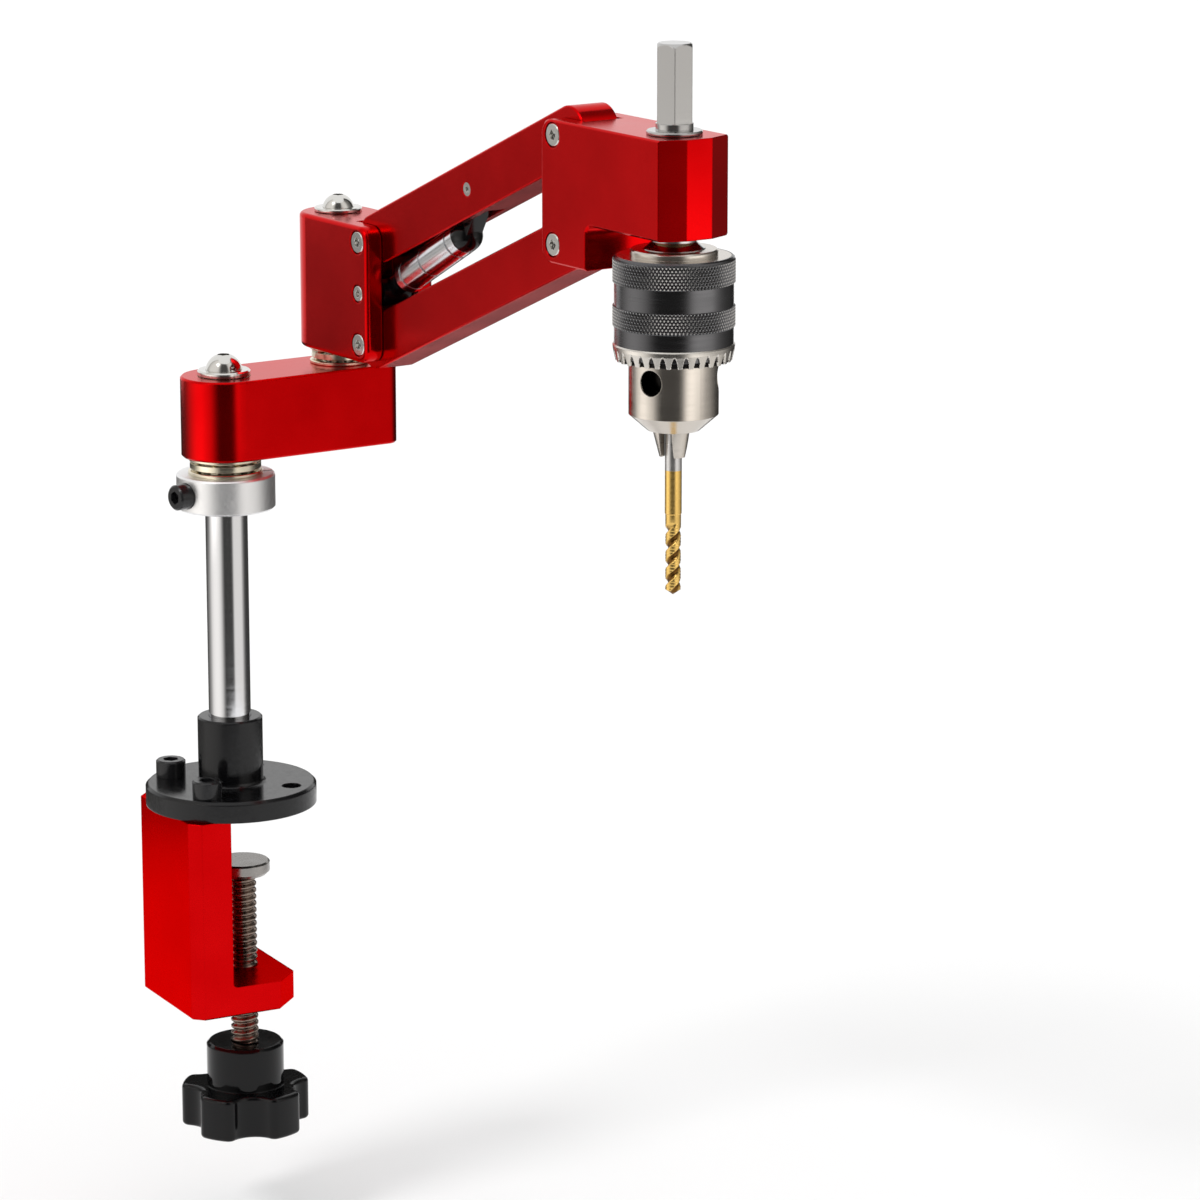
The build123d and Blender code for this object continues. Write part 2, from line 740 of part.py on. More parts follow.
def chuck_body():
    lower = rod(body_radius, cone_top, nut_bottom - face_gap)
    nose = Pos(0, 0, (cone_top + cone_bottom) / 2) * Cone(cone_radius, body_radius, cone_length)
    body = lower + nose + rod(body_radius - 1.4, nut_bottom - 1, nut_top + 1)
    body += rod(shell_radius - running, nut_top + face_gap, sleeve_top)
    body += rod(chuck_step_radius, sleeve_top, chuck_top)
    body = chamfer(edges_at(body, chuck_top), 0.4)
    body -= rod(chuck_bore, cone_bottom - 1, jaw_top_z - 4)
    body -= rod(arbor_radius + slip, chuck_top - arbor_length, chuck_top + 1)
    for jaw in range(3):
        turn = Rot(0, 0, key_hole_angle + 60 + 120 * jaw)
        body -= turn * jaw_path(jaw_radius + 0.08, cone_bottom - 4, jaw_top_z + 12)
        hole = Rot(0, 0, key_hole_angle + 120 * jaw)
        key = rod(key_hole_radius, body_radius - key_hole_depth, body_radius + 1)
        key += Pos(0, 0, body_radius) * Cone(key_hole_radius - key_flare, key_hole_radius + key_flare * 3,
                                             8 * key_flare)
        body -= hole * Pos(0, 0, sleeve_bottom - key_hole_drop) * Rot(0, 90, 0) * key
    return spindle_frame * body


def chuck_sleeve():
    outer = sleeve_radius
    recess = sleeve_radius - band_depth
    lip_top = sleeve_bottom + sleeve_lip
    profile = Polyline((body_radius + running, sleeve_bottom), (outer - gear_taper, sleeve_bottom),
                       (outer, gear_top_z), (recess, gear_top_z), (recess, band_low_z),
                       (outer, band_low_z), (outer, knurl_low_z), (recess, knurl_low_z),
                       (recess, band_top_z), (outer, band_top_z), (outer, knurl_top_z),
                       (outer - sleeve_rim * 0.8, sleeve_top), (shell_radius + slip, sleeve_top),
                       (shell_radius + slip, lip_top), (body_radius + running, lip_top), close=True)
    body = revolve(Plane.XZ * make_face(profile), Axis.Z)
    slope = degrees(atan2(gear_taper, gear_height))
    notch = Pos(0, 0, -1) * extrude(Rectangle(tooth_depth * 2, tooth_gap), gear_height - gear_rim + 1)
    for index in range(gear_teeth):
        place = Rot(0, 0, 360 / gear_teeth * index) * Pos(outer - gear_taper, 0, sleeve_bottom)
        body -= place * Rot(0, slope, 0) * notch
    return spindle_frame * body


def chuck_nut():
    slope = tan(radians(jaw_tilt))
    low = jaw_outer + (nut_bottom - cone_bottom) * slope + nut_clear
    high = low + nut_height * slope
    body = rod(shell_radius, nut_bottom, nut_top)
    cone = Pos(0, 0, (nut_bottom + nut_top) / 2) * Cone(low, high, nut_height)
    return spindle_frame * (body - cone)


def chuck_jaw(index):
    body = jaw_path(jaw_radius, jaw_tip_z - 3, jaw_top_z)
    edge = bit_radius + jaw_grip_gap
    wedge = make_face(Polyline((edge, 0), (edge + 30, 30 * tan(radians(60))),
                               (edge + 30, -30 * tan(radians(60))), close=True))
    body &= Pos(0, 0, jaw_tip_z) * extrude(wedge, jaw_top_z - jaw_tip_z)
    return spindle_frame * Rot(0, 0, key_hole_angle + 60 + 120 * index) * body


# ---- tap bit
def flute_section():
    """The bit's cross-section: a disc with two round gullets."""
    section = Circle(bit_neck_radius)
    for side in (1, -1):
        section -= Pos(side * bit_radius * 0.95, 0) * Circle(bit_radius * 0.55)
    return section


def tap_bit():
    step = jaw_tip_z - bit_shank - bit_step
    flute_top = step - bit_neck
    tip = flute_top - bit_flutes
    body = rod(bit_radius, step, jaw_tip_z + bit_inside)
    body += rod(bit_neck_radius, flute_top, step)
    twist = Solid.extrude_linear_with_rotation(flute_section().face(), (0, 0, 0),
                                               (0, 0, bit_flutes), bit_twist)
    cut = Pos(0, 0, bit_point / 2) * Cone(0.05, bit_neck_radius, bit_point) \
        + rod(bit_neck_radius + 1, bit_point, bit_flutes)
    return spindle_frame * (body + Pos(0, 0, tip) * (twist & cut))


# ---- write every piece
nodes = {
    "clamp_frame": clamp_frame(),
    "flange_base": flange_base(),
    "flange_screws": flange_screws(),
    "column_bolt": column_bolt(),
    "column": column(),
    "shaft_collar": shaft_collar(),
    "collar_screw": collar_screw(),
    "shoulder_race_lower": thrust_race(shoulder_bearing_radius, column_radius + running, collar_top),
    "shoulder_ball_cage": ball_cage(shoulder_bearing_radius, column_radius, collar_top),
    "shoulder_race_upper": thrust_race(shoulder_bearing_radius, column_radius + running,
                                       arm_bottom - race_height),
    "column_washer": end_washer(),
    "column_screw": end_screw(),
    "lower_arm": lower_arm(),
    "lower_arm_bush": lower_arm_bush(),
    "pivot_shaft": pivot_shaft(),
    "elbow_race_lower": elbow * thrust_race(elbow_bearing_radius, shaft_radius + running, arm_top),
    "elbow_ball_cage": [elbow * piece for piece in
                        ball_cage(elbow_bearing_radius, shaft_radius, arm_top)],
    "elbow_race_upper": elbow * thrust_race(elbow_bearing_radius, shaft_radius + running,
                                            block_bottom - race_height),
    "elbow_washer": elbow_washer(),
    "elbow_screw": elbow_screw(),
    "pivot_block": pivot_block(),
    "elbow_bush": elbow_bush(),
    "block_upper_pin": fork_pin(pin_reach, upper_pin_z, pin_radius, pin_head_radius, pin_socket_radius),
    "block_lower_pin": fork_pin(pin_reach, lower_pin_z, pin_radius, pin_head_radius, pin_socket_radius),
    "strut_lower_pin": fork_pin(pin_reach, middle_pin_z, strut_pin_radius, strut_pin_head_radius, 1.1),
    "upper_link": upper_link(),
    "strut_upper_screw": strut_hook_screw(),
    "lower_link": lower_link(),
    "strut_cylinder": strut_cylinder(),
    "strut_upper_end": strut_upper_end(),
    "strut_rod": strut_rod(),
    "strut_lower_end": strut_lower_end(),
    "head_block": head_block(),
    "head_upper_pin": fork_pin(head_x, head_pin_z, pin_radius, pin_head_radius, pin_socket_radius),
    "head_lower_pin": fork_pin(head_x, head_pin_z - pin_spacing, pin_radius, pin_head_radius,
                               pin_socket_radius),
    "spindle_bushes": spindle_bushes(),
    "spindle": spindle(),
    "spindle_ring": spindle_ring(),
    "chuck_body": chuck_body(),
    "chuck_sleeve": chuck_sleeve(),
    "chuck_nut": chuck_nut(),
    "tap_bit": tap_bit(),
    "clamp_pad": clamp_pad(),
    "clamp_screw": clamp_screw(),
    "clamp_knob": clamp_knob(),
}
for index in range(3):
    nodes[f"chuck_jaw_{index + 1}"] = chuck_jaw(index)

os.makedirs("parts", exist_ok=True)
for name, shape in nodes.items():
    solids = shape if isinstance(shape, list) else [shape]
    solids = [solid for piece in solids for solid in piece.solids()]
    export_step(Compound(children=solids) if len(solids) > 1 else solids[0], f"parts/{name}.step")
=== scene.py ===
import json
import math

import bpy
import numpy as np
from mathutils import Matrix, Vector


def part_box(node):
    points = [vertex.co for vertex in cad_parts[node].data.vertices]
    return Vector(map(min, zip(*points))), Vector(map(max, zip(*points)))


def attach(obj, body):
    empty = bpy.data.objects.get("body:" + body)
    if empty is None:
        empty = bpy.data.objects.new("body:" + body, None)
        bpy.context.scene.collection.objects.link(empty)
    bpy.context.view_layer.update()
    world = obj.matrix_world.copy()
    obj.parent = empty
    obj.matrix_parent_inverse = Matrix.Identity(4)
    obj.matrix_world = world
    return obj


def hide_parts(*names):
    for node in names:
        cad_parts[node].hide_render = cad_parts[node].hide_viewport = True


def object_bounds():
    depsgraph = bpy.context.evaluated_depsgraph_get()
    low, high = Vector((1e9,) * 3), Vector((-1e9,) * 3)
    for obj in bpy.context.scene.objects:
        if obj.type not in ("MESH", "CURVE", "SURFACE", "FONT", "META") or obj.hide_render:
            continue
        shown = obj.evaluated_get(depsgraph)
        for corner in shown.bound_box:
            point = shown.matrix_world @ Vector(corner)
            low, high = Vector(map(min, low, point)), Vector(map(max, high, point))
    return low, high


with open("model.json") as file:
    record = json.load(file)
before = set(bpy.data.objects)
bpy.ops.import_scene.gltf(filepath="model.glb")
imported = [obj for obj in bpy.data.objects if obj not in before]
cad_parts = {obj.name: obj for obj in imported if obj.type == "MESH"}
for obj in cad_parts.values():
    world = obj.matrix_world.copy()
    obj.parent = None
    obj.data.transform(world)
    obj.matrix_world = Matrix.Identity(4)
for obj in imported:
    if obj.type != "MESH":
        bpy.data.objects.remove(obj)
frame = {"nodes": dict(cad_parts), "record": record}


def corners():
    return [list(corner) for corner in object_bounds()]


loaded_size = corners()

MM = 0.001
TAU = 2 * math.pi

# ---- sizes of what is added to the solids
# the chuck's body, whose key holes lie between its cone and the sleeve and get painted shade inside
CHUCK_RADIUS = 11.7 * MM
CHUCK_CONE = 4.6 * MM
KEY_HOLE_SKIN = 0.55 * MM       # a key hole's wall keeps the nickel this deep, painted shade lies deeper
KEY_HOLE_MARGIN = 0.5 * MM      # left without painted shade under the sleeve

# its sleeve, from the top down
SLEEVE_EDGE = (                 # the mouth, the flat rim and its rounding: down, and in
    (1.0 * MM, 0.95 * MM), (0.0, 0.95 * MM), (0.0, 0.7 * MM), (0.35 * MM, 0.25 * MM))
SLEEVE_RIM = 0.8 * MM
# each band's length, and whether it is knurled
SLEEVE_BANDS = ((6.2 * MM, True), (5.9 * MM, False), (5.6 * MM, True), (4.3 * MM, False))
BAND_RECESS = 0.4 * MM          # of the bands without a knurl
SHELL_GAP = 1.0 * MM            # from the body to the edges that are hidden in the sleeve
KNURLS = 100
KNURL_DEPTH = 0.36 * MM
KNURL_LENGTH = 1.6              # height of a diamond over its width
KNURL_CREST = 0.75              # a diamond is flat above this share of its full height
KNURL_COLUMNS = 6               # mesh columns to a diamond
KNURL_ROW = 0.18 * MM           # mesh rows
GLINT_FROM = 0.16 * MM           # depths below the crests where the painted highlight starts, and where it is full
GLINT_TO = 0.04 * MM             # starts, and where it is full

# the toothed ring under the sleeve; shares are of a tooth's pitch
GEAR_HEIGHT = 4.5 * MM
GEAR_RIM = 1.3 * MM             # plain height above the teeth
GEAR_CHAMFER = 0.35 * MM
GEAR_STEP = 0.1 * MM            # the teeth stand this far inside the rim
GEAR_TAPER = 0.7 * MM           # and draw in this much more on the way down
GEAR_FIT = 0.08 * MM            # from the body to the ring
GEAR_LIP = 1.0 * MM             # how far the ring's bore goes up inside
GEAR_TEETH = 32
TOOTH_DEPTH = 1.2 * MM
TOOTH_SHADE = 1.15 * MM         # the gaps get painted shade below this depth
GAP_WIDTH = 0.62                # at the ring's foot
GAP_ARCH = 0.55                 # power by which a gap widens from its pointed top
GAP_FLANK = 0.12                # both flanks together
GAP_RAMP = 3                    # a gap has its full depth after 1 / GAP_RAMP of its height
TOOTH_COLUMNS = 24
TOOTH_ROWS = 14

# the clamp's screw; shares are of half a turn's height
SCREW_NECK = 2.8 * MM
SCREW_NECK_RADIUS = 3.0 * MM
THREAD_PITCH = 2.0 * MM
THREAD_DEPTH = 0.75 * MM
THREAD_ROOT = 0.15
THREAD_FLANK = 0.6
THREAD_RUN_OUT = 0.8 * MM
THREAD_COLUMNS = 48
THREAD_ROWS = 10                # to a turn

# the bit, from its tip up; shares of its radius, and of the spacing of its flutes
BIT_POINT = 1.4 * MM
BIT_TIP_RADIUS = 0.05 * MM
BIT_FLUTED = 19.5 * MM          # from the tip to the flutes' upper end
BIT_NECK = 2.0 * MM             # plain, above the flutes
BIT_STEP = 0.2 * MM             # from the neck out to the shank
BIT_COATED = 33.2 * MM          # from the tip to the bare steel
BIT_LAND = 0.93
BIT_CORE = 0.58
FLUTES = 2
FLUTE_LEAD = 9.2 * MM
FLUTE_WIDTH = 0.5
FLUTE_SIDE = 0.36               # both sides together
FLUTE_RUN_OUT = 2.5 * MM
FLUTE_SHADE = (0.90, 0.62)      # painted shade deepens in the flutes between these shares of the radius
TAP_PITCH = 0.8 * MM
TAP_DEPTH = 0.09 * MM
BIT_COLUMNS = 72
BIT_ROWS = 150

SHARP_ANGLE = 32                # degrees between faces that share an unsmoothed edge

# ---- studio and camera, azimuths in degrees from the front toward +X
CLAMP_TRAVEL = 27.0 * MM        # the knob comes down this far when the clamp opens
FLOOR_GAP = 0.5 * MM
FLOOR_SIZE = 16.0
SUN_ENERGY = 0.9
SUN_WIDTH = 16
SUN_AZIMUTH = -75
SUN_ELEVATION = 48
RING_CENTRE = Vector((0.03, -0.08, 0))
RING_RADIUS = 0.42
RING_STEP = 2                   # degrees between the ring's columns
TARGET = Vector((0.0936, -0.0498, 0.0593))
CAMERA_AZIMUTH = -28
CAMERA_ELEVATION = 13.3
CAMERA_DISTANCE = 1.4246
CAMERA_LENS = 150               # mm, on a sensor of this width
CAMERA_SENSOR = 36

# ---- what the materials share
NICKEL = (0.60, 0.555, 0.50)
GEAR_STEEL = (0.66, 0.63, 0.585)
GUNMETAL = (0.12, 0.12, 0.125)
NOISE_RANGE = (0.3, 0.7)        # nearly all of a noise's values lie between these
MIX_COLOURS = (6, 7)            # the colour sockets of a mix node
MIX_RESULT = 2

# ---- places from the solids
spindle_low, spindle_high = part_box("spindle")
body_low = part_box("chuck_body")[0]
sleeve_low, sleeve_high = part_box("chuck_sleeve")
screw_low, screw_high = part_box("clamp_screw")
bit_low, bit_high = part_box("tap_bit")

spindle_axis = (spindle_low + spindle_high) / 2
sleeve_axis = (sleeve_low + sleeve_high) / 2
sleeve_radius = (sleeve_high.x - sleeve_low.x) / 2
screw_axis = (screw_low + screw_high) / 2
screw_radius = (screw_high.x - screw_low.x) / 2
bit_axis = (bit_low + bit_high) / 2
bit_radius = (bit_high.x - bit_low.x) / 2
foot_level = loaded_size[0][2]


# ---- materials
class Shader:
    """A principled material with helpers for procedural detail, in the object's coordinates."""

    def __init__(self, name, colour, metallic, roughness, specular=0.5):
        self.material = bpy.data.materials.new(name)
        self.material.use_nodes = True
        self.nodes = self.material.node_tree.nodes
        self.links = self.material.node_tree.links
        self.surface = self.nodes["Principled BSDF"]
        inputs = self.surface.inputs
        inputs["Base Color"].default_value = (*colour, 1)
        inputs["Metallic"].default_value = metallic
        inputs["Roughness"].default_value = roughness
        inputs["Specular IOR Level"].default_value = specular
        self.material.diffuse_color = (*colour, 1)
        self.place = self.add("ShaderNodeTexCoord").outputs["Object"]

    def add(self, kind, **values):
        node = self.nodes.new(kind)
        for key, value in values.items():
            setattr(node, key, value)
        return node

    def link(self, output, target):
        self.links.new(output, target)

    def math(self, operation, first, second=None):
        """A math node's result, from numbers or other nodes' outputs."""
        node = self.add("ShaderNodeMath", operation=operation)
        for socket, value in zip(node.inputs, (first, second)):
            if isinstance(value, (int, float)):
                socket.default_value = value
            elif value is not None:
                self.link(value, socket)
        return node.outputs[0]

    def noise(self, scale, detail, stretch=(1, 1, 1)):
        mapping = self.add("ShaderNodeMapping")
        mapping.inputs["Scale"].default_value = stretch
        self.link(self.place, mapping.inputs["Vector"])
        noise = self.add("ShaderNodeTexNoise")
        noise.inputs["Scale"].default_value = scale
        noise.inputs["Detail"].default_value = detail
        self.link(mapping.outputs[0], noise.inputs["Vector"])
        return noise.outputs["Fac"]

    def turned_lines(self, scale, across):
        """Fine lines round an upright axis: noise that varies less across than upward."""
        return self.noise(scale, detail=2, stretch=(across, across, 1))

    def ramp(self, value, start, end, low=0.0, high=1.0):
        """From low to high as the value goes from start to end, and level beyond them."""
        node = self.add("ShaderNodeMapRange")
        sockets = ("From Min", "From Max", "To Min", "To Max")
        for socket, number in zip(sockets, (start, end, low, high)):
            node.inputs[socket].default_value = number
        self.link(value, node.inputs["Value"])
        return node.outputs[0]

    def axis_distance(self):
        """Distance from the spindle's upright axis."""
        place = self.add("ShaderNodeSeparateXYZ")
        self.link(self.place, place.inputs[0])
        across = self.math("SUBTRACT", place.outputs["X"], spindle_axis.x)
        along = self.math("SUBTRACT", place.outputs["Y"], spindle_axis.y)
        return self.math("SQRT", self.math("ADD", self.math("MULTIPLY", across, across),
                                           self.math("MULTIPLY", along, along)))

    def height(self):
        """Height above the frame's origin."""
        place = self.add("ShaderNodeSeparateXYZ")
        self.link(self.place, place.inputs[0])
        return place.outputs["Z"]

    def blend(self, factor, low, high):
        """A colour from low, where the factor is 0, to high, where it is 1."""
        mix = self.add("ShaderNodeMix", data_type="RGBA")
        self.link(factor, mix.inputs["Factor"])
        for index, colour in zip(MIX_COLOURS, (low, high)):
            if isinstance(colour, tuple):
                mix.inputs[index].default_value = (*colour, 1)
            else:
                self.link(colour, mix.inputs[index])
        return mix.outputs[MIX_RESULT]

    def tint(self, factor, low, high):
        self.link(self.blend(factor, low, high), self.surface.inputs["Base Color"])

    def vary_roughness(self, field, smooth, rough):
        self.link(self.ramp(field, *NOISE_RANGE, smooth, rough), self.surface.inputs["Roughness"])

    def relief(self, field, depth, edge, strength=0.5):
        """Fine relief, on edges that look rounded to the radius in edge."""
        bevel = self.add("ShaderNodeBevel", samples=4)
        bevel.inputs["Radius"].default_value = edge
        bump = self.add("ShaderNodeBump")
        bump.inputs["Distance"].default_value = depth
        bump.inputs["Strength"].default_value = strength
        self.link(field, bump.inputs["Height"])
        self.link(bevel.outputs[0], bump.inputs["Normal"])
        self.link(bump.outputs[0], self.surface.inputs["Normal"])


def red_metal(name, grazing, smooth, rough):
    """Anodised red; grazing is how much green and blue is left in reflections at low angles."""
    s = Shader(name, (0.60, 0.001, 0.002), metallic=1.0, roughness=0.2)
    s.surface.inputs["Specular Tint"].default_value = (1.0, grazing, grazing, 1)
    cloud = s.noise(scale=60, detail=3)
    grain = s.noise(scale=2400, detail=2)
    grain_share = 0.6
    mottle = s.math("ADD", s.math("MULTIPLY", grain, grain_share),
                    s.math("MULTIPLY", cloud, 1 - grain_share))
    s.tint(s.ramp(cloud, *NOISE_RANGE), (0.57, 0.001, 0.002), (0.63, 0.002, 0.003))
    s.vary_roughness(mottle, smooth, rough)
    s.relief(grain, depth=0.001 * MM, edge=0.5 * MM)
    return s.material


def flange_black():
    s = Shader("flange_black", (0.003, 0.003, 0.0035), metallic=0.0, roughness=0.16, specular=0.36)
    grain = s.noise(scale=900, detail=3)
    s.vary_roughness(grain, smooth=0.12, rough=0.22)
    s.relief(grain, depth=0.002 * MM, edge=0.5 * MM)
    return s.material


def black_oxide():
    s = Shader("black_oxide", (0.010, 0.010, 0.011), metallic=0.2, roughness=0.2)
    grain = s.noise(scale=1500, detail=2)
    s.vary_roughness(grain, smooth=0.14, rough=0.26)
    s.relief(grain, depth=0.002 * MM, edge=0.3 * MM)
    return s.material


def gloss_black(name, roughness, specular):
    """Moulded or painted black, slightly uneven."""
    s = Shader(name, (0.002, 0.002, 0.0023), metallic=0.0, roughness=roughness, specular=specular)
    waves = s.noise(scale=90, detail=2)
    s.vary_roughness(waves, smooth=roughness - 0.02, rough=roughness + 0.04)
    s.relief(waves, depth=0.03 * MM, edge=0.6 * MM, strength=0.25)
    return s.material


def ground_steel(name, colour, smooth, rough, edge=0.2 * MM):
    """Ground or turned metal, with fine lines round an upright axis."""
    s = Shader(name, colour, metallic=1.0, roughness=(smooth + rough) / 2)
    lines = s.turned_lines(scale=900, across=0.02)
    s.vary_roughness(lines, smooth, rough)
    s.relief(lines, depth=0.0008 * MM, edge=edge)
    return s.material


def collar_silver():
    s = Shader("collar_silver", (0.84, 0.84, 0.84), metallic=1.0, roughness=0.36)
    grain = s.noise(scale=1600, detail=3)
    s.vary_roughness(grain, smooth=0.32, rough=0.42)
    s.relief(grain, depth=0.004 * MM, edge=0.3 * MM)
    return s.material


def screw_bronze(name, colour):
    """Metal stained darker in patches."""
    s = Shader(name, colour, metallic=1.0, roughness=0.3)
    patches = s.noise(scale=220, detail=4)
    stained = tuple(0.6 * part for part in colour)
    s.tint(s.ramp(patches, *NOISE_RANGE), stained, colour)
    s.vary_roughness(patches, smooth=0.16, rough=0.34)
    s.relief(patches, depth=0.01 * MM, edge=0.2 * MM, strength=0.4)
    return s.material


def chuck_nickel():
    """Satin nickel, with painted shade inside the key holes."""
    s = Shader("chuck_nickel", NICKEL, metallic=1.0, roughness=0.2)
    lines = s.turned_lines(scale=1200, across=0.03)
    s.vary_roughness(lines, smooth=0.16, rough=0.25)
    s.relief(lines, depth=0.0008 * MM, edge=0.25 * MM)
    # painted shade: the key holes' walls are coloured near black
    inside = s.math("LESS_THAN", s.axis_distance(), CHUCK_RADIUS - KEY_HOLE_SKIN)
    above_cone = s.math("GREATER_THAN", s.height(), body_low.z + CHUCK_CONE)
    below_sleeve = s.math("LESS_THAN", s.height(), sleeve_low.z - KEY_HOLE_MARGIN)
    painted_hole_shade = s.math("MULTIPLY", s.math("MULTIPLY", inside, above_cone), below_sleeve)
    s.tint(painted_hole_shade, NICKEL, (0.012, 0.011, 0.010))
    return s.material


def chuck_dark():
    s = Shader("chuck_dark", GUNMETAL, metallic=1.0, roughness=0.24)
    lines = s.turned_lines(scale=1100, across=0.05)
    s.vary_roughness(lines, smooth=0.18, rough=0.3)
    s.relief(lines, depth=0.001 * MM, edge=0.12 * MM)
    return s.material


def sleeve_dark():
    """The sleeve's gunmetal, with painted highlights as glints on the crests of its knurl."""
    s = Shader("sleeve_dark", GUNMETAL, metallic=1.0, roughness=0.24)
    lines = s.turned_lines(scale=1100, across=0.05)
    s.vary_roughness(lines, smooth=0.18, rough=0.3)
    # painted highlight: the knurl's crests are coloured bright, as glints
    painted_glint = s.ramp(s.axis_distance(), sleeve_radius - GLINT_FROM, sleeve_radius - GLINT_TO)
    s.tint(painted_glint, (0.11, 0.11, 0.115), (0.50, 0.49, 0.48))
    return s.material


def gear_steel():
    """Bright steel, with painted shade in the gaps between the teeth."""
    s = Shader("gear_steel", GEAR_STEEL, metallic=1.0, roughness=0.22)
    lines = s.turned_lines(scale=1200, across=0.03)
    s.vary_roughness(lines, smooth=0.18, rough=0.27)
    s.relief(lines, depth=0.0008 * MM, edge=0.12 * MM)
    # painted shade: the deep part of each gap is coloured near black
    gap = s.math("LESS_THAN", s.axis_distance(), sleeve_radius - TOOTH_SHADE)
    s.tint(gap, GEAR_STEEL, (0.016, 0.015, 0.014))
    return s.material


def coated_bit():
    """Gold coating on the bit's lower part, with painted shade down in the flutes, and bare steel
    above.
    """
    s = Shader("bit_gold", (0.86, 0.56, 0.16), metallic=1.0, roughness=0.3)
    lines = s.turned_lines(scale=1500, across=0.05)
    s.vary_roughness(lines, smooth=0.26, rough=0.4)
    s.relief(lines, depth=0.001 * MM, edge=0.1 * MM)
    shade_start, shade_end = (bit_radius * share for share in FLUTE_SHADE)
    # painted shade: the gold darkens towards the bottoms of the flutes
    painted_flute_shade = s.ramp(s.axis_distance(), shade_start, shade_end)
    coated_with_shade = s.blend(painted_flute_shade, (0.88, 0.58, 0.17), (0.16, 0.075, 0.016))
    bare = s.math("GREATER_THAN", s.height(), bit_low.z + BIT_COATED)
    s.tint(bare, coated_with_shade, (0.62, 0.61, 0.60))
    return s.material


materials = {
    "red_anodised": red_metal("red_anodised", 0.78, 0.16, 0.23),
    "clamp_red": red_metal("clamp_red", 0.35, 0.22, 0.3),
    "flange_black": flange_black(),
    "black_oxide": black_oxide(),
    "column_chrome": ground_steel("column_chrome", (0.78, 0.785, 0.80), 0.05, 0.1),
    "collar_silver": collar_silver(),
    "bearing_brass": ground_steel("bearing_brass", (0.80, 0.73, 0.57), 0.14, 0.24),
    "bush_bronze": ground_steel("bush_bronze", (0.55, 0.38, 0.20), 0.25, 0.4),
    "screw_steel": ground_steel("screw_steel", (0.70, 0.69, 0.66), 0.08, 0.15),
    "strut_silver": ground_steel("strut_silver", (0.74, 0.75, 0.77), 0.14, 0.22),
    "strut_black": gloss_black("strut_black", 0.12, 0.25),
    "spindle_steel": ground_steel("spindle_steel", (0.50, 0.495, 0.485), 0.10, 0.18, edge=0.4 * MM),
    "sleeve_dark": sleeve_dark(),
    "gear_steel": gear_steel(),
    "chuck_dark": chuck_dark(),
    "chuck_nickel": chuck_nickel(),
    "bit_gold": coated_bit(),
    "screw_bronze": screw_bronze("screw_bronze", (0.30, 0.23, 0.19)),
    "pad_steel": screw_bronze("pad_steel", (0.38, 0.36, 0.34)),
    "knob_black": gloss_black("knob_black", 0.08, 0.25),
}

look_of = {entry["node"]: entry["material_slot"] for entry in frame["record"]["subparts"]}
look_of["clamp_frame"] = "clamp_red"        # a little less glossy than the arm's red
for node, piece in frame["nodes"].items():
    piece.data.materials.clear()
    piece.data.materials.append(materials[look_of[node]])


# ---- round pieces with relief, made as grids of angle and height
def relief_piece(name, axis, rows, columns, node, body, look):
    """rows holds (height, radius or one radius for each column), in order along the profile."""
    angles = np.arange(columns) * TAU / columns
    points = []
    for height, radii in rows:
        radii = np.broadcast_to(radii, columns)
        points += [(axis.x + radius * math.cos(angle), axis.y + radius * math.sin(angle), height)
                   for radius, angle in zip(radii, angles)]
    faces = []
    for row in range(len(rows) - 1):
        for column in range(columns):
            right = (column + 1) % columns
            faces.append((row * columns + column, (row + 1) * columns + column,
                          (row + 1) * columns + right, row * columns + right))
    mesh = bpy.data.meshes.new(name)
    mesh.from_pydata(points, [], faces)
    mesh.shade_smooth()
    mesh.set_sharp_from_angle(angle=math.radians(SHARP_ANGLE))
    piece = bpy.data.objects.new(name, mesh)
    bpy.context.scene.collection.objects.link(piece)
    piece.data.materials.append(materials[look])
    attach(piece, body)
    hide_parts(node)


def wave(turns):
    """0 at each whole turn, rising evenly to 1 midway between two of them."""
    return 1 - 2 * np.abs(turns - np.floor(turns) - 0.5)


def knurled(height):
    """Radius at each column of a diamond knurl: two crossing sets of grooves."""
    around = np.arange(KNURLS * KNURL_COLUMNS) / KNURL_COLUMNS
    along = height / (TAU * sleeve_radius / KNURLS * KNURL_LENGTH)
    pyramid = np.minimum(wave(around + along), wave(around - along))
    return sleeve_radius - KNURL_DEPTH * (1 - np.minimum(1, pyramid / KNURL_CREST))


def sleeve_band(top, bottom, has_knurl):
    """Rows of one band: plain and a little recessed, or knurled between two grooves."""
    if not has_knurl:
        recess = sleeve_radius - BAND_RECESS
        return [(top, recess), (bottom, recess)]
    groove = sleeve_radius - KNURL_DEPTH
    steps = round((top - bottom) / KNURL_ROW)
    heights = [top + (bottom - top) * step / steps for step in range(1, steps)]
    return [(top, groove), *((height, knurled(height)) for height in heights), (bottom, groove)]


def knurled_sleeve():
    """The chuck's sleeve down to its toothed ring: a rounded rim, then knurled and plain bands."""
    rows = [(sleeve_high.z - down, sleeve_radius - inset) for down, inset in SLEEVE_EDGE]
    height = sleeve_high.z - SLEEVE_RIM
    for length, has_knurl in SLEEVE_BANDS:
        rows += sleeve_band(height, height - length, has_knurl)
        height -= length
    rows.append((height, CHUCK_RADIUS + SHELL_GAP))
    relief_piece("knurled_sleeve", sleeve_axis, rows, KNURLS * KNURL_COLUMNS,
                 node="chuck_sleeve", body="chuck_sleeve", look="sleeve_dark")


